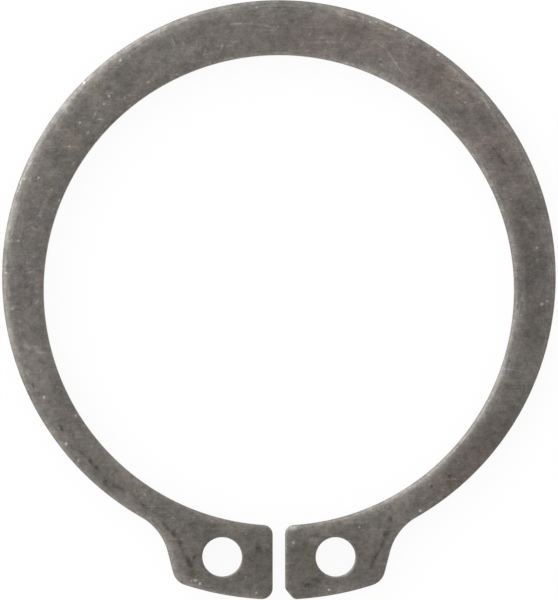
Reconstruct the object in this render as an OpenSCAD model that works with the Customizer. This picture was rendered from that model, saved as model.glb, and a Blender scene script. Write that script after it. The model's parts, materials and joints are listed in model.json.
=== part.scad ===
// External retaining ring for a shaft, blanked in one piece from spring steel strip.
// The bore is a circle about the origin. The outer edge is a second circle, set off towards +Y, so the
// beam is widest at the back and tapers evenly to the two lugs, which face each other across the gap at -Y.
// The ring lies flat on z = 0 with the rolled side of the blank up and the sheared side down.

/* [Ring] */
// Diameter of the bore while the ring lies free
bore_d = 29.6; // [26:0.1:36]
// Width of the beam at the back, opposite the gap
beam_back_w = 3.44; // [2.8:0.01:4.2]
// Width that the taper of the beam would reach at the middle of the gap
beam_gap_w = 1.76; // [1.4:0.01:2.2]
// Thickness of the strip
strip_t = 1.5; // [1.2:0.05:2]

/* [Lugs] */
// Height of the lugs, from the bore to their outer arc
lug_h = 4.64; // [4.2:0.01:5.4]
// Distance from the middle line to the outer corner of a lug before it is rounded
lug_half_w = 6.5; // [5.8:0.01:7.5]
// Lean of the outer flank of a lug from the middle line, in degrees
flank_lean = 14.5; // [8:0.5:20]
// Width of the gap between the lugs
gap_w = 0.78; // [0.4:0.01:1.6]
// Radius of the hollow between the flank of a lug and the beam
root_r = 3.5; // [2.5:0.1:4.5]
// Radius of the outer corner of a lug
shoulder_r = 1.15; // [0.8:0.01:1.5]
// Radius of the corner between the gap and the outer arc of a lug
end_outer_r = 0.7; // [0.4:0.01:1]
// Radius of the corner between the gap and the bore
end_inner_r = 0.6; // [0.4:0.01:0.9]

/* [Plier holes] */
// Diameter of the two holes for the tips of the pliers
hole_d = 2.5; // [2:0.05:2.8]
// Distance between the centres of the two holes
hole_pitch = 7.13; // [6.4:0.01:8]
// Distance from the bore to the centre of each hole
hole_in = 2.34; // [2.1:0.01:2.6]

/* [Edges] */
// Width of the rolled band that the blanking leaves along the upper edges
roll_w = 0.8; // [0.4:0.01:0.9]
// Slope of the roll where it reaches the rim, in degrees
roll_slope = 14; // [8:1:20]
// Width of the tumbled rim between the roll and the sheared wall
rim_w = 0.28; // [0.15:0.01:0.35]
// Slope of the rim where it reaches the sheared wall, in degrees
rim_slope = 45; // [35:1:55]
// Width of the roll around the plier holes
hole_roll_w = 0.2; // [0.1:0.01:0.3]
// Width of the tumbled break along the lower edges
break_w = 0.06; // [0.03:0.01:0.12]

/* [Wear] */
// Length of the knocked flat on the gap corner of the +X lug, up the face of the gap
chip_up = 0.68; // [0.5:0.01:0.9]
// Length of that flat along the outer arc
chip_along = 0.58; // [0.5:0.01:0.9]

/* [Hidden] */
$fn = 144;

bore_r = bore_d / 2;
outer_r = (bore_d + beam_back_w + beam_gap_w) / 2;
outer_y = (beam_back_w - beam_gap_w) / 2;
lug_r = bore_r + lug_h;
half_gap = gap_w / 2;

// Steps in the curve of the roll and in the curve of the rim
roll_steps = 2;
rim_steps = 3;
// How far a corner or hollow runs past the faces that it joins, so that they cross cleanly
bite = 0.01;
// How far a cutter stands clear of the strip
clear = 1;

// Direction up the flank of the +X lug, and the direction into that lug from its flank
flank_up = [sin(flank_lean), cos(flank_lean)];
flank_in = [-cos(flank_lean), sin(flank_lean)];
lug_corner = [lug_half_w, -sqrt(pow(lug_r, 2) - pow(lug_half_w, 2))];

// Arc centres of the +X lug: each is worked out from the two edges that the arc touches
shoulder_at = along_flank(lug_corner + shoulder_r * flank_in, [0, 0], lug_r - shoulder_r);
root_at = along_flank(lug_corner - root_r * flank_in, [0, outer_y], outer_r + root_r);
end_outer_at = beside_gap(end_outer_r, lug_r - end_outer_r);
end_inner_at = beside_gap(end_inner_r, bore_r + end_inner_r);
hole_at = [hole_pitch / 2, -sqrt(pow(bore_r + hole_in, 2) - pow(hole_pitch / 2, 2))];
chip_at = [half_gap, -sqrt(pow(lug_r, 2) - pow(half_gap, 2))];

// First point up the flank direction from start that lies at distance r from middle
function along_flank(start, middle, r) =
    let (from = start - middle, lead = from * flank_up)
    start + (-lead - sqrt(pow(lead, 2) - from * from + pow(r, 2))) * flank_up;

// Centre of a corner arc of radius r_arc that touches the gap face, at distance r from the origin
function beside_gap(r_arc, r) = [half_gap + r_arc, -sqrt(pow(r, 2) - pow(half_gap + r_arc, 2))];

function unit(v) = v / norm(v);

// Edge of the blank with a roll of width w, as [inset, height] points from the lower face to the upper face
function edge(w) =
    let (
        rim = rim_w * w / roll_w,
        roll_r = (w - rim) / sin(roll_slope),
        rim_r = rim / (sin(rim_slope) - sin(roll_slope)),
        rim_top = strip_t - roll_r * (1 - cos(roll_slope))
    )
    concat(
        [[break_w, 0], [0, break_w]],
        [for (i = [rim_steps : -1 : 1])
            let (a = roll_slope + (rim_slope - roll_slope) * i / rim_steps)
            [rim - rim_r * (sin(a) - sin(roll_slope)), rim_top - rim_r * (cos(roll_slope) - cos(a))]],
        [for (i = [roll_steps : -1 : 0])
            let (a = roll_slope * i / roll_steps)
            [w - roll_r * sin(a), strip_t - roll_r * (1 - cos(a))]]
    );

// Round blank of radius r with its edge rolled
module blank(r) {
    rotate_extrude()
        intersection() {
            polygon(concat([for (p = edge(roll_w)) [r - p.x, p.y]], [[-clear, strip_t], [-clear, 0]]));
            square([r, strip_t]);
        }
}

// Cutter for a round hole of radius r that leaves a roll of width w on the strip
module hole_cutter(r, w) {
    rotate_extrude()
        polygon(concat(
            [[0, -clear], [r + break_w, -clear]],
            [for (p = edge(w)) [r + p.x, p.y]],
            [[r + w, strip_t + clear], [0, strip_t + clear]]
        ));
}

// Straight strip from x = 0 towards -X with a rolled edge at x = 0, centred on the origin along Y
module straight_blank(length, width) {
    translate([0, length / 2, 0])
        rotate([90, 0, 0])
            linear_extrude(height = length)
                polygon(concat(
                    [for (p = edge(roll_w)) [-p.x, p.y]],
                    [[-width, strip_t], [-width, 0]]
                ));
}

// Cutter for the gap, with the edge of the blank on both sides
module gap_cutter() {
    length = 2 * lug_h;
    right = [for (p = edge(roll_w)) [half_gap + p.x, p.y]];
    left = [for (i = [len(right) - 1 : -1 : 0]) [-right[i].x, right[i].y]];
    bottom = half_gap + break_w;
    top = half_gap + roll_w;
    translate([0, -bore_r + lug_h / 2, 0])
        rotate([90, 0, 0])
            linear_extrude(height = length)
                polygon(concat(
                    [[-bottom, -clear], [bottom, -clear]],
                    right,
                    [[top, strip_t + clear], [-top, strip_t + clear]],
                    left
                ));
}

// Waste outside a convex corner arc, between the two feet of the arc and the sharp corner
module corner_waste(centre, r, toward_a, toward_b) {
    reach = 2 * r;
    difference() {
        translate([0, 0, -clear])
            linear_extrude(height = strip_t + 2 * clear)
                polygon([
                    centre,
                    centre + reach * toward_a,
                    centre + reach * (toward_a + toward_b),
                    centre + reach * toward_b
                ]);
        translate(centre)
            blank(r + bite);
    }
}

// Web that fills the hollow between the flank of the +X lug and the beam
module root_web() {
    depth = root_r + 2 * roll_w + lug_h / 4;
    to_flank = root_at + depth * flank_in;
    to_beam = root_at + depth * unit([0, outer_y] - root_at);
    difference() {
        linear_extrude(height = strip_t)
            polygon([root_at, to_flank, to_beam]);
        translate(root_at)
            hole_cutter(root_r + bite, roll_w);
    }
}

// Flank of the +X lug, as a wide strip whose rolled edge is the flank
module flank_blank() {
    translate(lug_corner)
        rotate(-flank_lean)
            straight_blank(4 * lug_h, 4 * lug_half_w);
}

// Both lugs as one block, before the gap is cut
module lug_block() {
    difference() {
        intersection() {
            blank(lug_r);
            flank_blank();
            mirror([1, 0, 0]) flank_blank();
            translate([-lug_r, -lug_r - clear, 0])
                cube([2 * lug_r, lug_h + clear + beam_gap_w, strip_t]);
        }
        for (side = [0, 1])
            mirror([side, 0, 0])
                corner_waste(shoulder_at, shoulder_r, -flank_in, unit(shoulder_at));
    }
}

module plier_hole() {
    translate(hole_at)
        hole_cutter(hole_d / 2, hole_roll_w);
}

// Both corners of the +X lug at the gap
module end_corners() {
    corner_waste(end_outer_at, end_outer_r, [-1, 0], unit(end_outer_at));
    corner_waste(end_inner_at, end_inner_r, [-1, 0], -unit(end_inner_at));
}

// Waste of the flat knocked on the gap corner of the +X lug, which stays clear of the -X lug
module chip() {
    run = [chip_along, -chip_up];
    from = chip_at + [0, chip_up] - half_gap / (2 * chip_along) * run;
    to = chip_at + [chip_along, 0] + run;
    translate([0, 0, -clear])
        linear_extrude(height = strip_t + 2 * clear)
            polygon([from, to, [from.x, to.y]]);
}

module retaining_ring() {
    color([0.42, 0.41, 0.39])
    difference() {
        union() {
            translate([0, outer_y, 0]) blank(outer_r);
            lug_block();
            root_web();
            mirror([1, 0, 0]) root_web();
        }
        hole_cutter(bore_r, roll_w);
        gap_cutter();
        for (side = [0, 1])
            mirror([side, 0, 0]) {
                end_corners();
                plier_hole();
            }
        chip();
    }
}

retaining_ring();
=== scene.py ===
# %% [markdown]
# # External retaining ring
# A retaining ring is a flat open spring that snaps into a groove on a shaft and stops what slides on it.
# It is blanked from spring steel strip, hardened, tumbled and phosphated, so it is one piece: a beam that
# tapers from the back to two lugs, a hole in each lug for the pliers, and a gap between them.
# This lesson dresses the packed model: it rebuilds the ring as a fine mesh, gives it a worn phosphate
# finish with some painted shade and painted sheen in it, and sets up a white table, soft light and a camera
# that looks straight down.

# %% Load the packed ring
import json
import math
from collections import namedtuple

import bmesh
import bpy
import numpy as np
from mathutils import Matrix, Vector
from mathutils.geometry import delaunay_2d_cdt


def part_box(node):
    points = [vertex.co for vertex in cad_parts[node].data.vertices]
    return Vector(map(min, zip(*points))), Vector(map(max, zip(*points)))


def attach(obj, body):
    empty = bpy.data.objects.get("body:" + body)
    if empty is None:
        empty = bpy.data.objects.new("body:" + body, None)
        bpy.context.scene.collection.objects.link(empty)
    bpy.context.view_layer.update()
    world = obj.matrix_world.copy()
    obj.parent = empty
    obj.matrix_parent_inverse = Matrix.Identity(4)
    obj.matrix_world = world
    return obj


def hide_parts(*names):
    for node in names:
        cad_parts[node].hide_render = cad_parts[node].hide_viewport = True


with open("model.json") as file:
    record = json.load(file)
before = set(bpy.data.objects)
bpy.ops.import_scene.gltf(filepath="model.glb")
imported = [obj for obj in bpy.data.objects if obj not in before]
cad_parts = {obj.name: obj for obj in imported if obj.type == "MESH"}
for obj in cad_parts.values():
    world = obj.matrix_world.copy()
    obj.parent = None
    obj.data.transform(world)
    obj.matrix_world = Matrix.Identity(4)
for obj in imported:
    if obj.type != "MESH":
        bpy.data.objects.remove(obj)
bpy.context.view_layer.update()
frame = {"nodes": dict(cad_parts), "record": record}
print("packed nodes:", sorted(frame["nodes"]))

# %% [markdown]
# ## Sizes
# The sizes that the packed model holds are read from it, so this mesh can't drift away from the solid:
# the thickness and the outer circle come from its box, the bore and the plier holes from its mounts.
# What the frame doesn't say, such as corner radii, is named here in millimetres.

# %% Read the sizes
MM = 0.001
NODE = "retaining_ring"

low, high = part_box(NODE)
mounts = {m["name"]: m for m in frame["record"]["mounts"]}
thickness = high.z / MM
outer_r = (high.x - low.x) / 2 / MM
outer_middle = np.array([0, high.y / MM - outer_r])
bore_r = mounts["shaft_seat"]["dims"]["r_mm"]
hole_r = mounts["plier_hole_plus_x"]["dims"]["r_mm"]
hole_middle = np.array(mounts["plier_hole_plus_x"]["pos_m"][:2]) / MM
bore_middle = np.zeros(2)

LUG_HEIGHT = 4.64
LUG_HALF_WIDTH = 6.5
FLANK_LEAN = math.radians(14.5)
HALF_GAP = 0.39
ROOT_R = 3.5
SHOULDER_R = 1.15
END_OUTER_R = 0.7
END_INNER_R = 0.6
lug_r = bore_r + LUG_HEIGHT
print(f"thickness {thickness:.2f} mm, bore {2 * bore_r:.2f} mm, outer circle {2 * outer_r:.2f} mm")

# %% [markdown]
# ## The outline
# Seen from above, the blank is a chain of arcs that run smoothly into each other, with two straight
# stretches: the flank of each lug and the face of the gap. Tracing it with hundreds of points would hide
# that, so each arc is a centre, a radius and two angles, found from the two edges that it touches.
# An arc also says whether the steel lies outside its circle, as at the bore, and how wide the rolled
# edge is there.


# %% Arcs of one half of the outline
def angle_of(vector):
    return math.atan2(vector[1], vector[0])


def unit(vector):
    return vector / np.linalg.norm(vector)


flank_up = np.array([math.sin(FLANK_LEAN), math.cos(FLANK_LEAN)])
flank_in = np.array([-math.cos(FLANK_LEAN), math.sin(FLANK_LEAN)])
lug_corner = np.array([LUG_HALF_WIDTH, -math.sqrt(lug_r**2 - LUG_HALF_WIDTH**2)])


def along_flank(start, middle, radius):
    """First point up the flank direction from start that lies at that distance from middle."""
    lead = (start - middle) @ flank_up
    offset = (start - middle) @ (start - middle)
    return start + (-lead - math.sqrt(lead**2 - offset + radius**2)) * flank_up


def beside_gap(corner_r, radius):
    """Centre of a corner arc that touches the gap face and lies at that distance from the bore's middle."""
    x = HALF_GAP + corner_r
    return np.array([x, -math.sqrt(radius**2 - x**2)])


shoulder_middle = along_flank(lug_corner + SHOULDER_R * flank_in, bore_middle, lug_r - SHOULDER_R)
root_middle = along_flank(lug_corner - ROOT_R * flank_in, outer_middle, outer_r + ROOT_R)
end_outer_middle = beside_gap(END_OUTER_R, lug_r - END_OUTER_R)
end_inner_middle = beside_gap(END_INNER_R, bore_r + END_INNER_R)
print("root arc at", root_middle.round(2), "and shoulder arc at", shoulder_middle.round(2), "mm")

# %% [markdown]
# One lug has lost its corner at the gap: something has knocked it flat. There the single corner arc gives
# way to two small ones with a straight flat between them.

# %% The plain corner and the knocked corner
OUTER_ROLL = 1.0
BORE_ROLL = 0.8
END_ROLL = 0.46
CHIP_ROLL = 0.3
CHIP_UP = 0.68
CHIP_ALONG = 0.58
CHIP_R = 0.38
HALF_TURN = math.pi
Arc = namedtuple("Arc", "middle radius start end hollow roll")


def plain_corner():
    start = angle_of(end_outer_middle)
    return [Arc(end_outer_middle, END_OUTER_R, start, -HALF_TURN, False, END_ROLL)]


def knocked_corner():
    sharp = np.array([HALF_GAP, -math.sqrt(lug_r**2 - HALF_GAP**2)])
    normal = unit(np.array([-CHIP_UP, -CHIP_ALONG]))
    depth = (sharp + [0, CHIP_UP]) @ normal - CHIP_R
    upper_x = HALF_GAP + CHIP_R
    upper = np.array([upper_x, (depth - upper_x * normal[0]) / normal[1]])
    reach = math.sqrt((lug_r - CHIP_R) ** 2 - depth**2)
    lower = depth * normal + reach * np.array([-normal[1], normal[0]])
    facing = angle_of(normal)
    return [
        Arc(lower, CHIP_R, angle_of(lower), facing, False, CHIP_ROLL),
        Arc(upper, CHIP_R, facing, -HALF_TURN, False, CHIP_ROLL),
    ]


def half_outline(corner):
    """Arcs of the +X half, from the back round the outside, over the lug and home along the bore."""
    to_root = angle_of(root_middle - outer_middle)
    to_shoulder = angle_of(shoulder_middle)
    return [
        Arc(outer_middle, outer_r, HALF_TURN / 2, to_root, False, OUTER_ROLL),
        Arc(root_middle, ROOT_R, to_root + HALF_TURN, angle_of(flank_in), True, OUTER_ROLL),
        Arc(shoulder_middle, SHOULDER_R, -FLANK_LEAN, to_shoulder, False, OUTER_ROLL),
        Arc(bore_middle, lug_r, to_shoulder, angle_of(corner[0].middle), False, OUTER_ROLL),
        *corner,
        Arc(end_inner_middle, END_INNER_R, HALF_TURN, angle_of(-end_inner_middle), False, END_ROLL),
        Arc(bore_middle, bore_r, angle_of(end_inner_middle), HALF_TURN / 2, True, BORE_ROLL),
    ]


print("arcs in each half:", len(half_outline(plain_corner())), "and", len(half_outline(knocked_corner())))

# %% [markdown]
# ## From arcs to points
# The outline is sampled about every tenth of a millimetre, so its straight steps leave even the tightest
# arc by only a few thousandths of a millimetre. Each point keeps the direction into the steel and the local
# width of the roll. The -X half is made from the same arcs, apart from its corner, then mirrored and joined
# on backwards.

# %% Sample the outline
STEP = 0.1
FEWEST_IN_ARC = 9
SAME_POINT = 1e-5
MIRROR_ROW = [-1, 1, -1, 1, 1]


def sample_arc(arc):
    """Rows of x, y, inward x, inward y and roll width along one arc."""
    count = max(FEWEST_IN_ARC, math.ceil(abs(arc.end - arc.start) * arc.radius / STEP) + 1)
    turn = np.linspace(arc.start, arc.end, count)
    out = np.column_stack([np.cos(turn), np.sin(turn)])
    inward = out if arc.hollow else -out
    return np.column_stack([arc.middle + arc.radius * out, inward, np.full(count, arc.roll)])


def sample_half(corner):
    """Rows along one half, with the straight stretches between its arcs."""
    parts = []
    for arc in half_outline(corner):
        rows = sample_arc(arc)
        if parts:
            last = parts[-1][-1]
            count = math.ceil(np.linalg.norm(rows[0, :2] - last[:2]) / STEP)
            share = np.arange(1, count)[:, None] / max(count, 1)
            parts.append(last + (rows[0] - last) * share)
        parts.append(rows)
    return np.vstack(parts)


def gaps_after(points):
    """Distance from each point of a closed loop to the next one."""
    return np.linalg.norm(np.roll(points, -1, axis=0) - points, axis=1)


right_half = sample_half(knocked_corner())
left_half = sample_half(plain_corner())[::-1] * MIRROR_ROW
both_halves = np.vstack([right_half, left_half])
outline = both_halves[gaps_after(both_halves[:, :2]) > SAME_POINT]
outline_at, outline_in, outline_roll = outline[:, :2], outline[:, 2:4], outline[:, 4]
steps = gaps_after(outline_at)
print(f"{len(outline)} points, {steps.sum():.1f} mm round, longest step {steps.max():.3f} mm")

# %% [markdown]
# The roll is narrower at the tight corners of the gap than along the beam. A change from one arc to the
# next would show as a kink in the light on the edge, so the widths are averaged along the outline. A slow
# unevenness is added too, because a real roll wanders a little with the wear of the die.

# %% Smooth the roll width along the outline
BLEND_REACH = 0.8
HOLE_ROLL = 0.2
HOLE_LAND = 0.15
BEAM_LAND = 0.3
UNEVEN_SHARE = 0.04
UNEVEN_WAVES = ((7, 0.4), (17, 1.9), (41, 3.1), (97, 5.0))
places = np.cumsum(steps)
length = places[-1]


def smoothed(values):
    """Least value within reach of each point along the outline, and then the average of those."""
    apart = np.abs(places[:, None] - places[None])
    apart = np.minimum(apart, length - apart)
    near = apart < BLEND_REACH
    least = np.where(near, values[None], values.max()).min(axis=1)
    weight = np.where(near, 1 + np.cos(HALF_TURN * apart / BLEND_REACH), 0) * steps
    return weight @ least / weight.sum(axis=1)


hole_away = [np.linalg.norm(outline_at - hole_middle * [side, 1], axis=1) for side in (1, -1)]
room = np.min(hole_away, axis=0) - hole_r - HOLE_ROLL - HOLE_LAND
beam = np.linalg.norm(outline_at, axis=1) - bore_r
outside = outline_roll > BORE_ROLL
room[outside] = np.minimum(room, beam - BORE_ROLL - BEAM_LAND)[outside]
along = places / length * 2 * HALF_TURN
wander = sum(np.sin(count * along + phase) for count, phase in UNEVEN_WAVES) / len(UNEVEN_WAVES)
roll_width = smoothed(np.minimum(outline_roll, room)) * (1 + UNEVEN_SHARE * wander)
print(f"roll width from {roll_width.min():.2f} to {roll_width.max():.2f} mm")

# %% [markdown]
# ## The edge of the blank
# Blanking bends the strip down over the edge before it shears, so the upper edge is a soft roll. The
# sheared wall below it is straight, and the tumbling drum rounds the corner between them and breaks the
# lower edge. A bevel modifier gives the same radius to both sides of a face, so the edge is written as a
# profile instead: pairs of an inset from the wall and a height, which the sweep then carries round.

# %% Edge profile
ROLL_SLOPE = math.radians(14)
RIM_SLOPE = math.radians(45)
RIM_SHARE = 0.35
CORNER_R = 0.03
BREAK = 0.06
ROLL_ROWS = 7
RIM_ROWS = 7
CORNER_ROWS = 4
BREAK_ROWS = 3
WALL_ROWS = 6
GUARD = 0.03


def bend(start, from_slope, to_slope, radius, rows):
    """Rows of an arc that leaves start at one slope and bends down to another, without start itself."""
    slope = np.linspace(from_slope, to_slope, rows + 1)[1:]
    outward = radius * (np.sin(slope) - math.sin(from_slope))
    down = radius * (math.cos(from_slope) - np.cos(slope))
    return start - np.column_stack([outward, down])


def edge_profile(roll):
    """Insets and heights from the lower face to the upper face for a roll of that width."""
    corner = CORNER_R * (1 - math.sin(RIM_SLOPE))
    rim = RIM_SHARE * roll
    roll_r = (roll - rim) / math.sin(ROLL_SLOPE)
    rim_r = (rim - corner) / (math.sin(RIM_SLOPE) - math.sin(ROLL_SLOPE))
    rows = [[roll + 2 * GUARD, thickness], [roll + GUARD, thickness], [roll, thickness]]
    rows.extend(bend(rows[-1], 0, ROLL_SLOPE, roll_r, ROLL_ROWS))
    rows.extend(bend(rows[-1], ROLL_SLOPE, RIM_SLOPE, rim_r, RIM_ROWS))
    rows.extend(bend(rows[-1], RIM_SLOPE, HALF_TURN / 2, CORNER_R, CORNER_ROWS))
    rows.extend([[0, height] for height in np.linspace(rows[-1][1], BREAK, WALL_ROWS)[1:]])
    rows.extend(bend(rows[-1], HALF_TURN / 2, HALF_TURN, BREAK, BREAK_ROWS))
    rows.extend([[BREAK + GUARD, 0], [BREAK + 2 * GUARD, 0]])
    return np.array(rows[::-1])


beam_edge = edge_profile(BORE_ROLL)
straight = beam_edge[beam_edge[:, 0] < SAME_POINT]
print(f"{len(beam_edge)} rows in the edge, straight wall up to {straight[-1, 1]:.2f} mm")

# %% [markdown]
# ## Sweeping the edge
# The profile is carried along the outline and round each plier hole, which gives clean rows of quads that
# follow the edge. A curve with a bevel shape would do that too, but it scales the whole shape at once. Here
# only the upper half is scaled to the local roll, so the wall stays straight and the lower edge is even.


# %% Sweep an edge round a loop
def sweep(points, inward, widths, profile, roll):
    """Rows of x, y, z and flatness of a profile carried along a closed loop and scaled to the local roll."""
    inset, height = profile[:, 0], profile[:, 1]
    upper = height > thickness / 2
    scale = np.where(upper[:, None], widths / roll, 1)
    spots = points + inward * (inset[:, None] * scale)[:, :, None]
    heights = np.where(upper[:, None], thickness - (thickness - height[:, None]) * scale, height[:, None])
    flatness = np.minimum(inset / np.where(upper, roll, BREAK), 1)[:, None] * np.ones(len(points))
    return np.dstack([spots, heights, flatness])


def quads(rows, count, first):
    """Faces between the rows of a sweep whose vertices start at that number."""
    here = np.arange(count)
    ahead = np.roll(here, -1)
    faces = []
    for row in range(rows - 1):
        a = first + row * count
        b = a + count
        faces.append(np.column_stack([a + here, a + ahead, b + ahead, b + here]))
    return np.vstack(faces)


HOLE_POINTS = 96
turn = np.linspace(0, 2 * HALF_TURN, HOLE_POINTS, endpoint=False)
hole_out = np.column_stack([np.cos(turn), np.sin(turn)])
hole_width = np.full(HOLE_POINTS, HOLE_ROLL)
hole_edge = edge_profile(HOLE_ROLL)
loops = [sweep(outline_at, outline_in, roll_width, beam_edge, BORE_ROLL)]
for side in (1, -1):
    rim = hole_middle * [side, 1] + hole_r * hole_out
    loops.append(sweep(rim, hole_out, hole_width, hole_edge, HOLE_ROLL))
print("vertices in each sweep:", [loop.shape[0] * loop.shape[1] for loop in loops])

# %% [markdown]
# ## Filling the faces
# What is left is the flat of both faces, one fill with two holes in it. The last two rows before a fill are
# flat, so its long triangles get a true upright normal and shade as one plane. The fill keeps the rims as
# edges, and the triangles that touch nothing but the rim of one hole lie in that hole and are dropped.

# %% Join the sweeps and fill both faces
FILL_INSIDE = 1
FILL_TOLERANCE = 1e-6
swept = np.vstack([loop.reshape(-1, 4) for loop in loops])
vertices, flatness = swept[:, :3], swept[:, 3]
edge_faces, lower_rims, upper_rims = [], [], []
first = 0
for loop in loops:
    rows, count = loop.shape[:2]
    edge_faces.extend(quads(rows, count, first).tolist())
    lower_rims.append(np.arange(first, first + count))
    first += rows * count
    upper_rims.append(np.arange(first - count, first))


def fill(rims):
    """Triangles of the flat inside the outline's rim and outside the rims of the holes."""
    ids = np.concatenate(rims)
    place = {int(vertex): at for at, vertex in enumerate(ids)}
    edges = [(place[int(a)], place[int(b)]) for rim in rims for a, b in zip(rim, np.roll(rim, -1))]
    points = [Vector(vertices[i, :2]) for i in ids]
    _, _, found, origins, _, _ = delaunay_2d_cdt(points, edges, [], FILL_INSIDE, FILL_TOLERANCE)
    source = [int(ids[origin[0]]) for origin in origins]
    triangles = np.array([[source[corner] for corner in triangle] for triangle in found])
    in_hole = np.any([np.isin(triangles, rim).all(axis=1) for rim in rims[1:]], axis=0)
    return triangles[~in_hole].tolist()


lower_face, upper_face = fill(lower_rims), fill(upper_rims)
print("triangles in the lower and the upper flat:", len(lower_face), "and", len(upper_face))

# %% [markdown]
# The rows and the fills become one closed mesh: it has no open edge, and its volume can be compared with that
# of the packed solid. The flatness of each vertex goes along as an attribute, for the wear and the painted
# sheen.
# The mesh hangs on the root of the frame and stands in for the packed ring, which is hidden.

# %% Make the ring
ring_mesh = bpy.data.meshes.new("ring_blank")
ring_mesh.from_pydata((vertices * MM).tolist(), [], edge_faces + lower_face + upper_face)
bm = bmesh.new()
bm.from_mesh(ring_mesh)
bmesh.ops.recalc_face_normals(bm, faces=bm.faces)
open_left = sum(edge.is_boundary for edge in bm.edges)
volume = bm.calc_volume() / MM**3
bm.to_mesh(ring_mesh)
bm.free()
ring_mesh.shade_smooth()
ring_mesh.attributes.new("flatness", "FLOAT", "POINT").data.foreach_set("value", flatness)

ring = bpy.data.objects.new("phosphated_ring", ring_mesh)
bpy.context.scene.collection.objects.link(ring)
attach(ring, "root")
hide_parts(NODE)
print(f"ring mesh: {len(ring_mesh.polygons)} faces, {open_left} open edges, {volume:.1f} cubic mm")

# %% [markdown]
# ## Building a finish from nodes
# A material is a small network: textures make numbers, maths nodes combine them, and the shader turns the
# result into colour, gloss and relief. Clicking a network together can't be repeated by a script, so these
# shortcuts add a node, set it up and link it in one line.


# %% Shortcuts for a node network
class Network:
    """Adds linked nodes to one node tree."""

    def __init__(self, tree):
        self.tree = tree

    def add(self, kind, inputs=None, **settings):
        node = self.tree.nodes.new(kind)
        for name, value in settings.items():
            setattr(node, name, value)
        for name, value in (inputs or {}).items():
            if isinstance(value, bpy.types.NodeSocket):
                self.tree.links.new(value, node.inputs[name])
            else:
                node.inputs[name].default_value = value
        return node

    def maths(self, operation, *values):
        return self.add("ShaderNodeMath", dict(enumerate(values)), operation=operation).outputs[0]

    def vector(self, operation, *values):
        node = self.add("ShaderNodeVectorMath", dict(enumerate(values)), operation=operation)
        return node.outputs["Value" if operation in ("DOT_PRODUCT", "LENGTH") else "Vector"]

    def scaled(self, vector, factor):
        inputs = {0: vector, "Scale": factor}
        return self.add("ShaderNodeVectorMath", inputs, operation="SCALE").outputs["Vector"]

    def noise(self, where, scale, detail, roughness=0.5):
        inputs = {"Vector": where, "Scale": scale, "Detail": detail, "Roughness": roughness}
        return self.add("ShaderNodeTexNoise", inputs).outputs["Fac"]

    def ranged(self, value, low, high, to_low=0.0, to_high=1.0):
        """Value that goes from to_low to to_high as the given one goes from low to high, and stops there."""
        inputs = {"Value": value, "From Min": low, "From Max": high, "To Min": to_low, "To Max": to_high}
        return self.add("ShaderNodeMapRange", inputs).outputs["Result"]

    def swing(self, noise, amount):
        """Factor about 1 that a noise about 0.5 moves up and down by that amount."""
        return self.maths("MULTIPLY_ADD", noise, amount, 1 - amount / 2)

    def more(self, mask, amount):
        """Factor that is 1 where a mask is 0 and moves by that amount where the mask is 1."""
        return self.maths("MULTIPLY_ADD", mask, amount, 1.0)

    def mixed(self, mask, plain, marked):
        """Tint that is plain where a mask is 0 and marked where it is 1."""
        inputs = {0: mask, 4: plain, 5: marked}
        return self.add("ShaderNodeMix", inputs, data_type="VECTOR").outputs[1]


print("shortcuts:", [name for name in vars(Network) if not name.startswith("_")])

# %% [markdown]
# ## The phosphate coat
# Phosphating grows a thin coat of grey crystals on the steel, which soaks up oil. It looks satin and warm,
# and it is blotchy at every size from a grain to a few millimetres. A painted texture would fix one size of
# blotch, so noises are layered instead: fine grain and soft blotches for the tone, and two sets of patches
# for the hue, one that leans to brown or green and one that leans to yellow or blue. A noise is its scale for
# each millimetre, the number of finer layers in it and how strong those are.

# %% Coat tone and hue
COAT = (0.1655, 0.152, 0.139)
GRAIN = 1.65
GRAIN_NOISE = (2.2, 3, 1.0)
BLOTCH = 0.9
BLOTCH_NOISE = (0.25, 2, 0.8)
BROWN_TO_GREEN = (0.3, -0.04, -0.08)
BROWN_NOISE = (0.5, 4, 0.9)
BLUE_TO_YELLOW = (0.04, 0.035, -0.28)
YELLOW_NOISE = (0.4, 3, 0.8)
NO_TINT = (1, 1, 1)
NOISE_MIDDLE = 0.5
finish = bpy.data.materials.new("phosphate_and_oil")
finish.use_nodes = True
ring_mesh.materials.append(finish)
steel = Network(finish.node_tree)
shader = finish.node_tree.nodes["Principled BSDF"]

here = steel.scaled(steel.add("ShaderNodeTexCoord").outputs["Object"], 1 / MM)
grain = steel.noise(here, *GRAIN_NOISE)
blotches = steel.noise(here, *BLOTCH_NOISE)
brown = steel.maths("SUBTRACT", steel.noise(here, *BROWN_NOISE), NOISE_MIDDLE)
yellow = steel.maths("SUBTRACT", steel.noise(here, *YELLOW_NOISE), NOISE_MIDDLE)
tone = steel.maths("MULTIPLY", steel.swing(grain, GRAIN), steel.swing(blotches, BLOTCH))
tint = steel.vector("MULTIPLY_ADD", BROWN_TO_GREEN, brown, NO_TINT)
tint = steel.vector("MULTIPLY_ADD", BLUE_TO_YELLOW, yellow, tint)
print("coat colour", COAT)

# %% [markdown]
# ## Marks of handling
# Rings are shipped loose or on a rod, so they rub on each other, and oil and dirt stay where they touched.
# Each listed mark is a soft ellipse: a mapping node turns and stretches space so that the ellipse
# becomes a round gradient. A mark is x, y, half length, half width, turn in degrees and strength, in
# millimetres, and it stays on the upper face.

# %% Ellipses on the upper face
FLATTEN = (1, 1, 0)
FADE_FROM = 0.7 * thickness
FADE_TO = 0.4 * thickness
plan = steel.vector("MULTIPLY", here, FLATTEN)
across, along_back, up = steel.add("ShaderNodeSeparateXYZ", {0: here}).outputs
upper_side = steel.ranged(up, FADE_TO, FADE_FROM)


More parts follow.
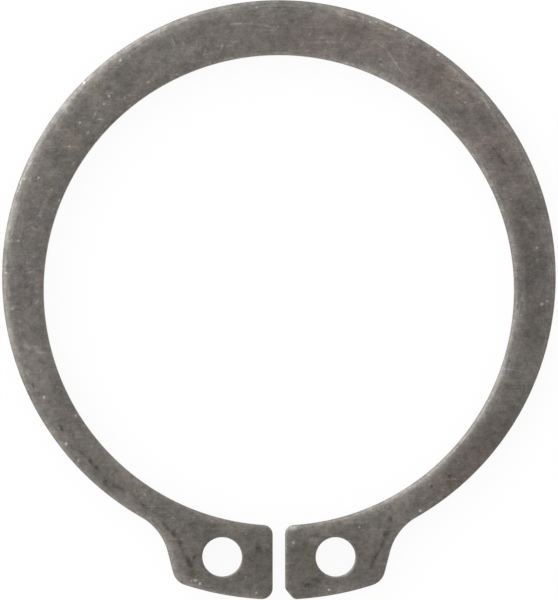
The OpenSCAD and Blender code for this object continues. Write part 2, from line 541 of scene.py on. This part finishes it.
def ellipses(marks):
    """Strongest of the marks at each point, fading from the middle of each to its rim."""
    strongest = 0.0
    for x, y, half_length, half_width, turn, strength in marks:
        inputs = {
            "Vector": plan,
            "Location": (x, y, 0),
            "Rotation": (0, 0, math.radians(turn)),
            "Scale": (half_length, half_width, 1),
        }
        space = steel.add("ShaderNodeMapping", inputs, vector_type="TEXTURE").outputs[0]
        fade = steel.add("ShaderNodeTexGradient", {"Vector": space}, gradient_type="SPHERICAL").outputs["Fac"]
        strongest = steel.maths("MAXIMUM", strongest, steel.maths("MULTIPLY", fade, strength))
    return steel.maths("MULTIPLY", strongest, upper_side)


print(f"marks fade out between {FADE_FROM:.2f} and {FADE_TO:.2f} mm up the wall")

# %% [markdown]
# The right side, the lugs and parts of the edge are darker and glossier than the rest: partly oil that the
# coat has soaked up, partly painted shade where less light falls. These areas are soft: wide ellipses on the
# beam and the lugs, and narrow ones along the edges.

# %% Oil and painted shade
OIL_AND_SHADE_AREAS = (
    (15.5, 2.0, 8.0, 3.0, 96, 0.8),
    (12.4, -9.6, 7.5, 3.6, 52, 1.0),
    (0.0, -17.0, 9.0, 4.0, 0, 0.9),
    (-15.9, 0.3, 2.2, 1.4, 85, 0.5),
    (-10.8, -11.9, 4.0, 1.6, -48, 0.5),
    (0.0, 18.2, 6.5, 0.85, 0, 1.0),
    (-11.87, 13.19, 2.4, 0.35, 42, 0.6),
    (-14.59, 9.84, 2.4, 0.35, 56, 0.6),
    (14.5, -3.6, 2.2, 0.6, 76, 0.75),
    (-15.5, -6.26, 3.5, 0.7, -68, 0.5),
    (16.3, -1.6, 4.5, 1.8, 86, 0.85),
    (-16.65, 2.94, 2.1, 0.3, 80, 0.5),
    (-16.76, 0.0, 2.1, 0.32, 90, 0.8),
    (-16.36, -2.88, 2.1, 0.3, -80, 0.7),
    (1.7, -16.2, 0.9, 1.2, 0, 1.1),
)
OIL_AND_SHADE_DARKENS = -0.36
# Oil and painted shade: the wide areas darken the right side and the lugs, the narrow ones the rolled edge.
oil_and_shade = ellipses(OIL_AND_SHADE_AREAS)
tone = steel.maths("MULTIPLY", tone, steel.more(oil_and_shade, OIL_AND_SHADE_DARKENS))
print(len(OIL_AND_SHADE_AREAS), "oily areas")

# %% [markdown]
# The bath and the oil don't colour the whole ring alike. Part of the back and the right shoulder of the beam
# have turned browner than the rest, and the lugs are a little yellower. The same soft ellipses tell where,
# and each adds a small shift of colour there.

# %% Brown and yellow areas
BROWN_AREAS = (
    (2.0, 15.6, 3.0, 1.7, -5, 0.8),
    (5.6, 16.2, 3.4, 2.0, -20, 1.0),
    (9.6, 13.6, 4.5, 2.4, -38, 0.9),
    (13.6, 9.2, 4.5, 2.4, -58, 0.9),
    (15.4, 4.0, 3.5, 1.8, -75, 0.4),
    (12.6, -11.0, 5.5, 2.2, 50, 0.8),
    (4.5, -16.5, 3.5, 3.0, 0, 0.4),
)
YELLOW_AREAS = (
    (-11.0, -12.0, 9.0, 3.0, -45, 0.8),
    (0.0, -17.0, 9.0, 4.0, 0, 1.0),
    (9.0, -13.5, 5.0, 3.0, 35, 0.7),
)
BROWNER = (0.1, -0.01, -0.035)
YELLOWER = (0.0, 0.0, -0.05)
tint = steel.vector("MULTIPLY_ADD", BROWNER, ellipses(BROWN_AREAS), tint)
tint = steel.vector("MULTIPLY_ADD", YELLOWER, ellipses(YELLOW_AREAS), tint)
print(len(BROWN_AREAS), "brown areas and", len(YELLOW_AREAS), "yellow ones")

# %% [markdown]
# A run of dark smudges follows the middle of the beam to both lugs, where another ring lay on this one, and
# a few lie elsewhere. Their edges are ragged, so a noise is added to the soft ellipses before the sum is cut
# off at a level.

# %% Oil smudges
SMUDGES = (
    (-13.65, -8.7, 0.5, 0.16, -65, 1.1),
    (-12.3, -10.3, 0.7, 0.2, -50, 0.8),
    (-11.8, -10.8, 0.6, 0.26, -62, 1.0),
    (-11.5, -11.1, 0.55, 0.24, -20, 0.8),
    (-10.9, -12.0, 0.6, 0.28, -60, 0.8),
    (-10.2, -12.35, 0.8, 0.28, -27, 0.8),
    (-9.1, -12.9, 0.8, 0.3, -35, 0.6),
    (-8.5, -13.5, 0.6, 0.26, -40, 0.8),
    (-7.6, -14.05, 0.9, 0.3, -30, 0.7),
    (-7.1, -14.8, 0.9, 0.24, -55, 0.8),
    (-6.6, -15.3, 0.6, 0.26, -50, 1.0),
    (-6.25, -15.85, 0.7, 0.26, -55, 1.0),
    (-6.0, -16.5, 0.8, 0.26, -68, 0.7),
    (-5.6, -17.2, 0.95, 0.3, -62, 1.2),
    (-5.3, -16.75, 0.35, 0.14, 50, 0.9),
    (-5.4, -17.8, 0.6, 0.28, -65, 0.9),
    (-5.6, -14.75, 0.9, 0.3, 15, 0.65),
    (-4.3, -14.8, 0.9, 0.25, -5, 0.6),
    (7.0, -13.6, 0.7, 0.24, -80, 0.6),
    (7.05, -14.3, 0.6, 0.34, 60, 0.8),
    (6.7, -15.4, 0.95, 0.34, 65, 1.0),
    (6.5, -16.0, 0.55, 0.3, 60, 0.9),
    (6.05, -16.8, 0.9, 0.28, 65, 1.0),
    (5.8, -17.4, 0.7, 0.28, 65, 0.7),
    (-1.25, -16.2, 0.6, 0.32, -70, 0.9),
    (1.9, -18.5, 0.55, 0.26, 10, 0.8),
    (2.4, -18.2, 0.5, 0.34, 0, 0.8),
    (2.25, -15.4, 0.7, 0.26, 10, 0.7),
    (0.85, 16.95, 0.3, 0.24, 0, 0.9),
    (13.9, 8.35, 2.0, 0.18, -54, 0.75),
    (12.1, 12.1, 0.6, 0.22, -50, 0.6),
    (11.4, 12.8, 0.5, 0.18, -20, 0.6),
    (15.4, 5.1, 0.6, 0.26, -60, 0.6),
    (15.95, 3.5, 0.7, 0.3, -80, 0.6),
    (-15.57, -0.7, 0.5, 0.16, 85, 0.8),
    (-15.42, -6.0, 0.55, 0.16, -72, 0.85),
    (10.72, -11.66, 0.16, 0.16, 0, 1.4),
    (9.59, -12.29, 0.16, 0.16, 0, 1.4),
)
SMUDGE_DARKENS = -0.5
SMUDGE_LEVELS = (0.15, 0.95)
SMUDGE_FADES = (0.0, 0.4)
RAGGED = 1.6
RAGGED_NOISE = (3.0, 2, 0.8)
ragged = steel.maths("MULTIPLY_ADD", steel.noise(here, *RAGGED_NOISE), RAGGED, -RAGGED / 2)
soft = ellipses(SMUDGES)
smudges = steel.ranged(steel.maths("ADD", soft, ragged), *SMUDGE_LEVELS)
smudges = steel.maths("MULTIPLY", smudges, steel.ranged(soft, *SMUDGE_FADES))
tone = steel.maths("MULTIPLY", tone, steel.more(smudges, SMUDGE_DARKENS))
print(len(SMUDGES), "smudges")

# %% [markdown]
# Rubbing leaves pale scratches and short nicks in the coat. The ones that show are thin ellipses, listed one
# by one. A real scratch skips over the coat, so a noise breaks each one up.

# %% Pale scratches
SCRATCHES = (
    (6.4, 15.4, 0.5, 0.08, -35, 0.7),
    (7.2, 14.45, 1.4, 0.08, -55, 0.9),
    (-2.3, 16.75, 1.4, 0.12, 1, 0.8),
    (-0.7, 16.6, 1.1, 0.1, -6, 0.7),
    (11.1, 13.2, 0.7, 0.1, -13, 0.8),
    (3.05, 15.6, 2.2, 0.12, 0, 0.5),
    (4.0, 15.9, 0.45, 0.08, 55, 0.8),
    (14.7, -5.0, 1.0, 0.08, -11, 0.7),
    (-11.3, 10.75, 0.35, 0.08, -6, 1.3),
    (-11.55, 11.05, 0.35, 0.08, 62, 1.3),
    (0.32, 14.92, 0.8, 0.07, 0, 1.0),
    (-3.3, 14.55, 0.2, 0.08, 10, 1.2),
    (-2.97, 14.62, 0.14, 0.08, 8, 1.2),
    (-2.5, 14.63, 0.14, 0.08, 8, 1.2),
    (4.3, 14.28, 0.4, 0.08, -17, 1.0),
    (4.65, 14.22, 0.14, 0.09, 0, 1.2),
    (-6.75, 13.34, 0.12, 0.1, 27, 1.2),
    (-6.43, 13.57, 0.14, 0.1, 27, 1.2),
    (-9.4, 11.6, 0.14, 0.08, 40, 1.2),
    (-10.9, 10.3, 0.25, 0.07, 45, 1.0),
    (-1.2, 14.77, 0.15, 0.07, 4, 1.0),
    (-16.7, -1.13, 0.3, 0.14, 50, 1.0),
    (-16.3, -2.47, 0.35, 0.15, 30, 0.9),
    (-15.65, 0.5, 0.3, 0.1, 5, 0.8),
    (-15.24, 0.0, 0.25, 0.22, -40, 0.7),
    (-15.17, -0.7, 0.2, 0.1, 60, 0.7),
    (-16.7, 1.36, 0.25, 0.12, 10, 0.7),
    (-15.8, -5.3, 0.5, 0.14, -65, 0.7),
    (-15.0, 4.75, 0.35, 0.18, 70, 0.8),
    (-15.4, 3.87, 0.35, 0.15, -45, 0.9),
    (-16.3, 4.87, 0.25, 0.2, 0, 0.6),
    (-15.7, 8.0, 0.2, 0.2, 0, 0.7),
    (-14.67, 5.68, 0.25, 0.12, 60, 0.9),
    (-12.9, 8.0, 0.2, 0.1, 60, 0.9),
    (13.1, 11.65, 1.2, 0.08, -59, 1.0),
    (11.0, 13.8, 0.6, 0.2, -40, 0.6),
    (1.45, 15.45, 0.2, 0.08, 60, 1.0),
    (6.4, 14.5, 0.25, 0.1, -10, 0.8),
    (4.4, 17.2, 1.3, 0.1, -18, 0.6),
    (-3.6, 15.3, 0.4, 0.1, 80, 0.6),
    (-6.0, 15.5, 0.25, 0.08, -70, 0.6),
    (-5.5, 14.35, 0.3, 0.08, 5, 0.8),
    (-6.6, 15.55, 0.4, 0.09, -63, 0.8),
    (13.25, 11.55, 1.8, 0.22, -48, 0.4),
    (15.6, 4.3, 0.9, 0.25, -65, 0.4),
    (14.2, 6.4, 0.5, 0.2, -80, 0.6),
    (15.4, 0.3, 2.4, 0.1, 90, 0.4),
    (-15.6, 1.15, 0.4, 0.1, 10, 0.8),
    (-15.2, 0.3, 0.35, 0.15, 30, 0.7),
    (-15.1, -3.8, 0.45, 0.25, -50, 0.7),
    (-15.8, -3.55, 0.45, 0.2, -30, 0.6),
    (0.9, -14.95, 0.3, 0.2, 0, 1.0),
    (1.2, -14.9, 0.4, 0.16, 10, 0.7),
    (0.9, -15.85, 0.18, 0.15, 0, 0.9),
    (2.0, -15.65, 0.25, 0.17, 0, 0.5),
    (15.28, -0.44, 0.35, 0.12, 80, 0.6),
    (15.04, -1.28, 0.5, 0.12, 80, 0.6),
    (17.1, 1.5, 0.7, 0.2, 85, 0.4),
)
SCRATCH_PALES = 0.8
SKIP_NOISE = (3.5, 2)
SKIP_LEVELS = (0.35, 0.55, 0.3, 1.0)
scratches = ellipses(SCRATCHES)
skips = steel.ranged(steel.noise(here, *SKIP_NOISE), *SKIP_LEVELS)
scratches = steel.maths("MULTIPLY", scratches, skips)
tone = steel.maths("MULTIPLY", tone, steel.more(scratches, SCRATCH_PALES))
print(len(SCRATCHES), "scratches")

# %% [markdown]
# Tumbling also leaves hairlines all over, too many to place one by one. A noise that is squeezed across and
# drawn out along one direction makes thin streaks, and only its peaks are kept. Three directions cross.

# %% Hairlines
HAIRLINE_TURNS = (8, 67, 121)
HAIRLINE_STRETCH = (0.45, 7.0, 1.0)
HAIRLINE_NOISE = (1.0, 2)
HAIRLINE_LEVELS = (0.62, 0.78)
HAIRLINE_PALES = 0.35
hairlines = 0.0
for turn in HAIRLINE_TURNS:
    inputs = {"Vector": plan, "Rotation": (0, 0, math.radians(turn)), "Scale": HAIRLINE_STRETCH}
    space = steel.add("ShaderNodeMapping", inputs).outputs[0]
    peaks = steel.ranged(steel.noise(space, *HAIRLINE_NOISE), *HAIRLINE_LEVELS)
    hairlines = steel.maths("MAXIMUM", hairlines, peaks)
hairlines = steel.maths("MULTIPLY", hairlines, upper_side)
tone = steel.maths("MULTIPLY", tone, steel.more(hairlines, HAIRLINE_PALES))
print(len(HAIRLINE_TURNS), "directions of hairlines")

# %% [markdown]
# Grit from the tumbling drum and dust stay behind as pale specks. The larger ones are listed one by one. The
# rest are the cells of a Voronoi texture that lie close to their own middle, and a coarse noise leaves most
# of those out, so that they gather in some places.

# %% Pale specks
SPECKS = (
    (-10.67, 12.2, 0.12, 0.1, 0, 0.9),
    (-12.5, 10.52, 0.1, 0.1, 0, 1.0),
    (-8.2, 13.08, 0.13, 0.1, 40, 0.7),
    (-11.0, 11.7, 0.1, 0.1, 0, 0.9),
    (-12.23, 13.05, 0.14, 0.11, 50, 1.0),
    (-15.1, 7.07, 0.13, 0.11, 70, 1.0),
    (-13.8, 5.65, 0.1, 0.1, 0, 0.8),
    (-14.74, -6.72, 0.13, 0.1, 60, 0.9),
    (-12.78, -7.88, 0.11, 0.1, 0, 0.9),
    (-13.36, -9.66, 0.14, 0.13, 0, 1.0),
    (-12.6, -10.7, 0.14, 0.12, 0, 0.8),
    (-4.96, -18.42, 0.12, 0.1, 70, 1.2),
    (-5.23, -18.22, 0.17, 0.15, 30, 0.7),
    (8.88, -13.85, 0.13, 0.11, 0, 1.1),
    (16.52, -0.88, 0.16, 0.14, 60, 1.3),
    (16.87, -0.68, 0.12, 0.1, 0, 0.7),
    (16.24, 2.67, 0.14, 0.12, 0, 0.9),
    (14.1, 8.83, 0.12, 0.1, 0, 0.7),
    (7.36, 16.39, 0.14, 0.11, 20, 0.8),
    (10.01, 14.79, 0.13, 0.11, 0, 0.8),
    (11.2, 12.4, 0.12, 0.1, 0, 0.6),
    (11.7, 11.8, 0.12, 0.1, 0, 0.7),
    (-9.95, 14.45, 0.14, 0.12, 30, 0.9),
    (-12.0, 9.9, 0.14, 0.1, 40, 0.8),
    (-16.36, 3.1, 0.12, 0.1, 0, 0.7),
    (3.14, -18.82, 0.1, 0.1, 0, 1.2),
    (-1.41, -19.01, 0.12, 0.1, 0, 0.7),
    (0.92, -14.97, 0.34, 0.22, 25, 0.35),
    (0.93, -15.85, 0.14, 0.12, 0, 0.5),
)
SPECK_PALES = 1.9
DUST_GREY = (0.93, 1.0, 1.08)
DUST = ((1.4, 0.12), (2.6, 0.18))
DUST_GATHERS = (0.48, 0.66, 0.0, 0.8)
GATHER_SCALE = 0.5
GATHER_LAYERS = 1
specks = ellipses(SPECKS)
for scale, size in DUST:
    away = steel.add("ShaderNodeTexVoronoi", {"Vector": here, "Scale": scale}).outputs["Distance"]
    gathered = steel.ranged(steel.noise(here, GATHER_SCALE * scale, GATHER_LAYERS), *DUST_GATHERS)
    dust = steel.maths("MULTIPLY", steel.ranged(away, size, 0.0), gathered)
    specks = steel.maths("MAXIMUM", specks, dust)
tone = steel.maths("MULTIPLY", tone, steel.more(specks, SPECK_PALES))
tint = steel.mixed(specks, tint, DUST_GREY)
print(len(SPECKS), "specks placed by hand")

# %% [markdown]
# One drop of rinse water dried on the left shoulder of the beam and left a pale rim where its edge was. The
# distance from the drop's middle tells how far a point is from that rim.

# %% A dried drop
DROP = (-13.14, 11.41, 0.0)
DROP_R = 0.28
DROP_RIM = 0.1
DROP_PALES = 0.35
from_drop = steel.vector("LENGTH", steel.vector("SUBTRACT", plan, DROP))
from_rim = steel.maths("ABSOLUTE", steel.maths("SUBTRACT", from_drop, DROP_R))
dried = steel.maths("MULTIPLY", steel.ranged(from_rim, DROP_RIM, 0.0), upper_side)
tone = steel.maths("MULTIPLY", tone, steel.more(dried, DROP_PALES))
print(f"dried drop {2 * DROP_R:.2f} mm wide")

# %% [markdown]
# ## Worn edges and painted sheen
# The drum rubs hardest on the edges, where it thins the coat along the rolled band and leaves streaks that
# run round the ring. Streaks need space that is bent round the ring: the angle becomes a length along the
# beam, and a noise in that space is stretched along it. A second, fainter set of streaks lies on the flats.

# %% Streaks round the ring
BEAM_R = 16.5
STREAK_STRETCH = (0.8, 8.0, 1)
STREAK_NOISE = (1.0, 3, 0.8)
FAINT_STRETCH = (0.4, 4.0, 1)
FAINT_NOISE = (1.0, 3, 0.7)
FLAT_STREAKS = 0.3
clock = steel.maths("MULTIPLY", steel.maths("ARCTAN2", across, along_back), BEAM_R)
radius = steel.vector("LENGTH", plan)
round_ring = steel.add("ShaderNodeCombineXYZ", {0: clock, 1: radius, 2: up}).outputs[0]
streaks = steel.noise(steel.vector("MULTIPLY", round_ring, STREAK_STRETCH), *STREAK_NOISE)
faint = steel.noise(steel.vector("MULTIPLY", round_ring, FAINT_STRETCH), *FAINT_NOISE)
tone = steel.maths("MULTIPLY", tone, steel.swing(faint, FLAT_STREAKS))
print(f"streaks bent round a circle of {BEAM_R} mm")

# %% [markdown]
# The mesh carries a flatness for each vertex, 0 on the wall and 1 on the flats, so the paler band knows the
# rolled band without measuring distances. The band is paler partly as worn coat and partly as painted sheen,
# a highlight of light glinting off the roll. The border of the band wanders with the blotches. The outer edge
# is paler most towards the back and the bore most on the right. Bare steel and the painted sheen are greyer
# than phosphate.

# %% Wear and painted sheen along the rolled band
WEAR_FROM = 0.9
WEAR_FULL = 0.3
RIM_FULL = 0.25
RIM_SHARE_WEAR_AND_SHEEN = 0.55
WEAR_AND_SHEEN_PALES = 0.62
WEAR_WAVES = 0.5
WEAR_STREAKS = (0.36, 0.68)
BORE_EDGE = (bore_r + 1.1, bore_r + 0.9)
BORE_RUB_AND_SHEEN = (1.0, 0.85, 0.0, 0.35)
OUTER_WEAR_AND_SHEEN = (-6.0, 3.0, 0.35, 1.0)
BORE_WEAR_AND_SHEEN = (-3.0, 9.0, 0.0, 0.8)
BARE_STEEL_AND_SHEEN_GREY = (0.98, 1.0, 1.02)
flat = steel.add("ShaderNodeAttribute", attribute_name="flatness").outputs["Fac"]
wavy = steel.maths("ADD", flat, steel.maths("MULTIPLY_ADD", blotches, WEAR_WAVES, -WEAR_WAVES / 2))
band = steel.maths("MULTIPLY", steel.ranged(wavy, WEAR_FROM, WEAR_FULL), upper_side)
band = steel.maths("MULTIPLY", band, steel.ranged(flat, 0.0, RIM_FULL, RIM_SHARE_WEAR_AND_SHEEN, 1.0))
at_bore = steel.ranged(radius, *BORE_EDGE)
bore_rub_and_sheen = steel.maths("MULTIPLY", at_bore, steel.ranged(flat, *BORE_RUB_AND_SHEEN))
band = steel.maths("MAXIMUM", band, bore_rub_and_sheen)
outer_share = steel.ranged(along_back, *OUTER_WEAR_AND_SHEEN)
bore_share = steel.ranged(across, *BORE_WEAR_AND_SHEEN)
share = steel.add("ShaderNodeMix", {0: at_bore, 2: outer_share, 3: bore_share}).outputs[0]
streaked = steel.ranged(streaks, *WEAR_STREAKS)
# Worn coat and painted sheen: the rolled band is made paler and greyer, partly as a painted highlight.
wear_and_sheen = steel.maths("MULTIPLY", steel.maths("MULTIPLY", band, share), streaked)
tone = steel.maths("MULTIPLY", tone, steel.more(wear_and_sheen, WEAR_AND_SHEEN_PALES))
tint = steel.mixed(wear_and_sheen, tint, BARE_STEEL_AND_SHEEN_GREY)
print(f"wear over {WEAR_FROM:.0%} of the rolled band")

# %% [markdown]
# ## The sheared wall
# The punch burnishes the upper part of the wall and drags fine upright lines down it. The lower part breaks
# away, so it is rougher and a little darker. Height alone tells the two apart, and a noise that is squeezed
# along the beam and drawn out in height makes the lines.

# %% Sheared wall
WALL_FLATNESS = (0.12, 0.02)
BREAK_HEIGHT = (0.52, 0.42)
BREAK_SWING = 0.6
BREAK_LEVELS = (0.6, 1.4)
BREAK_DARKENS = -0.2
LINE_STRETCH = (9, 1, 0.5)
LINE_NOISE = (1.0, 2, 0.7)
LINE_SWING = 0.5
wall = steel.ranged(flat, *WALL_FLATNESS)
broken = steel.maths("MULTIPLY", wall, steel.ranged(steel.swing(blotches, BREAK_SWING), *BREAK_LEVELS))
broken = steel.maths("MULTIPLY", broken, steel.ranged(up, *BREAK_HEIGHT))
lines = steel.noise(steel.vector("MULTIPLY", round_ring, LINE_STRETCH), *LINE_NOISE)
lined = steel.maths("MULTIPLY", wall, steel.maths("SUBTRACT", lines, NOISE_MIDDLE))
tone = steel.maths("MULTIPLY", tone, steel.more(lined, LINE_SWING))
tone = steel.maths("MULTIPLY", tone, steel.more(broken, BREAK_DARKENS))
print(f"wall broken away below {BREAK_HEIGHT[0]} mm")

# %% [markdown]
# ## Putting the finish together
# Phosphate is satin, oil fills its pores and makes it glossier, and rubbed steel is glossier too. The relief
# is a few micrometres: the crystals stand up, scratches and wall lines are cut in, and specks stand proud.

# %% Finish the shader
METALLIC = 0.7
BLOTCH_RANGE = (0.3, 0.7)
ROUGHNESS = (0.38, 0.5)
OIL_SMOOTHS = -0.12
WEAR_SMOOTHS = -0.1
BREAK_ROUGHENS = 0.2
RELIEF = 6e-6
colour = steel.vector("MULTIPLY", steel.scaled(COAT, tone), tint)
steel.tree.links.new(colour, shader.inputs["Base Color"])
shader.inputs["Metallic"].default_value = METALLIC

rough = steel.ranged(blotches, *BLOTCH_RANGE, *ROUGHNESS)
gloss = ((oil_and_shade, OIL_SMOOTHS / 2), (smudges, OIL_SMOOTHS), (wear_and_sheen, WEAR_SMOOTHS), (broken, BREAK_ROUGHENS))
for mask, amount in gloss:
    rough = steel.maths("MULTIPLY_ADD", mask, amount, rough)
steel.tree.links.new(rough, shader.inputs["Roughness"])

height = grain
rises = ((scratches, -0.8), (hairlines, -0.5), (specks, 1.5), (lined, -1.5), (streaks, 0.3))
for mask, amount in rises:
    height = steel.maths("MULTIPLY_ADD", mask, amount, height)
relief = steel.add("ShaderNodeBump", {"Strength": 1.0, "Distance": RELIEF, "Height": height}).outputs[0]
steel.tree.links.new(relief, shader.inputs["Normal"])
print(len(steel.tree.nodes), "nodes in the finish")

# %% [markdown]
# ## Table
# The ring lies on white paper that is overexposed: it looks white straight on and in reflections, but takes a
# faint shadow. White emission alone would lose the shadow, so what the camera and the gloss see is a mix of
# emission and lit paper, while the light that the paper throws back up comes from the lit paper only.

# %% White table
FLOOR_SIZE = 2.0
FLOOR_DROP = 0.00002
FLOOR_GLOW = 0.93
PAPER = (0.9, 0.9, 0.9, 1)
bpy.ops.mesh.primitive_plane_add(size=FLOOR_SIZE, location=(0, 0, -FLOOR_DROP))
floor = bpy.context.object
floor.name = "white_table"
paper = bpy.data.materials.new("white_paper")
paper.use_nodes = True
paper.node_tree.nodes.clear()
sheet = Network(paper.node_tree)
path = sheet.add("ShaderNodeLightPath").outputs
seen = sheet.maths("MAXIMUM", path["Is Camera Ray"], path["Is Glossy Ray"])
seen = sheet.maths("MAXIMUM", seen, path["Is Transmission Ray"])
lit = sheet.add("ShaderNodeBsdfDiffuse", {"Color": PAPER}).outputs[0]
glow = sheet.add("ShaderNodeEmission", {"Strength": 1.0}).outputs[0]
glowing = sheet.maths("MULTIPLY", seen, FLOOR_GLOW)
both = sheet.add("ShaderNodeMixShader", {0: glowing, 1: lit, 2: glow}).outputs[0]
sheet.add("ShaderNodeOutputMaterial", {"Surface": both})
floor.data.materials.append(paper)
print(f"table {FLOOR_SIZE} m wide, {1 - FLOOR_GLOW:.0%} of it takes the shadow")

# %% [markdown]
# ## Light
# Shiny small parts are photographed in a tent of white cloth, so that they mirror cloth and not the room.
# This tent is a world whose strength depends only on direction: even overhead, with side walls that are
# brighter towards the horizon. A wall is a turn in degrees clockwise from the back, a focus and a strength.
# A broad key wall with a narrower panel on it stands at the upper left, weaker walls at the right and lower
# left. Lamps would leave hard spots on the rolled edges, which the photograph doesn't have.

# %% Light tent
UPWARD = (0, 0, 1)
CLOTH = (1, 1, 1, 1)
TENT_FILL = 0.63
WALLS = (
    (-51, 1.0, 1.9),
    (-51, 5.5, 3.65),
    (60, 1.5, 0.7),
    (-155, 3.0, 1.5),
)
world = bpy.data.worlds.new("light_tent")
bpy.context.scene.world = world
world.use_nodes = True
world.node_tree.nodes.clear()
tent = Network(world.node_tree)
toward = tent.add("ShaderNodeTexCoord").outputs["Generated"]
overhead = tent.maths("MAXIMUM", tent.vector("DOT_PRODUCT", toward, UPWARD), 0.0)
level = tent.vector("NORMALIZE", tent.vector("MULTIPLY", toward, FLATTEN))
sides = 0.0
for turn, focus, strength in WALLS:
    middle = (math.sin(math.radians(turn)), math.cos(math.radians(turn)), 0)
    facing = tent.maths("MAXIMUM", tent.vector("DOT_PRODUCT", level, middle), 0.0)
    sides = tent.maths("MULTIPLY_ADD", tent.maths("POWER", facing, focus), strength, sides)
light = tent.maths("MULTIPLY_ADD", sides, tent.maths("SUBTRACT", 1.0, overhead), TENT_FILL)
cloth = tent.add("ShaderNodeBackground", {"Color": CLOTH, "Strength": light}).outputs[0]
tent.add("ShaderNodeOutputWorld", {"Surface": cloth})
print(f"tent of {len(WALLS)} walls, {TENT_FILL} overhead")

# %% [markdown]
# ## Camera
# The photograph was taken straight down, because the plier holes show none of their walls. Two values tie
# it to the model: how many millimetres a pixel covers and which pixel the middle of the bore falls on. A
# long lens far above the ring keeps its walls hidden in the same way.

# %% Camera
PHOTO_HEIGHT = 600
MM_PER_PIXEL = 0.06282
PHOTO_MIDDLE = (279.0, 300.0)
BORE_PIXEL = (278.87, 290.3)
CAMERA_DISTANCE = 0.6
SENSOR = 36.0
camera_data = bpy.data.cameras.new("straight_down")
camera_data.sensor_width = SENSOR
camera_data.lens = SENSOR * CAMERA_DISTANCE / (PHOTO_HEIGHT * MM_PER_PIXEL * MM)
camera = bpy.data.objects.new("straight_down", camera_data)
camera.location = (
    (PHOTO_MIDDLE[0] - BORE_PIXEL[0]) * MM_PER_PIXEL * MM,
    (BORE_PIXEL[1] - PHOTO_MIDDLE[1]) * MM_PER_PIXEL * MM,
    thickness * MM + CAMERA_DISTANCE,
)
bpy.context.scene.collection.objects.link(camera)
bpy.context.scene.camera = camera
bpy.context.scene.view_settings.view_transform = "Standard"
print(f"camera {CAMERA_DISTANCE} m above the ring with a lens of {camera_data.lens:.0f} mm")

# %% [markdown]
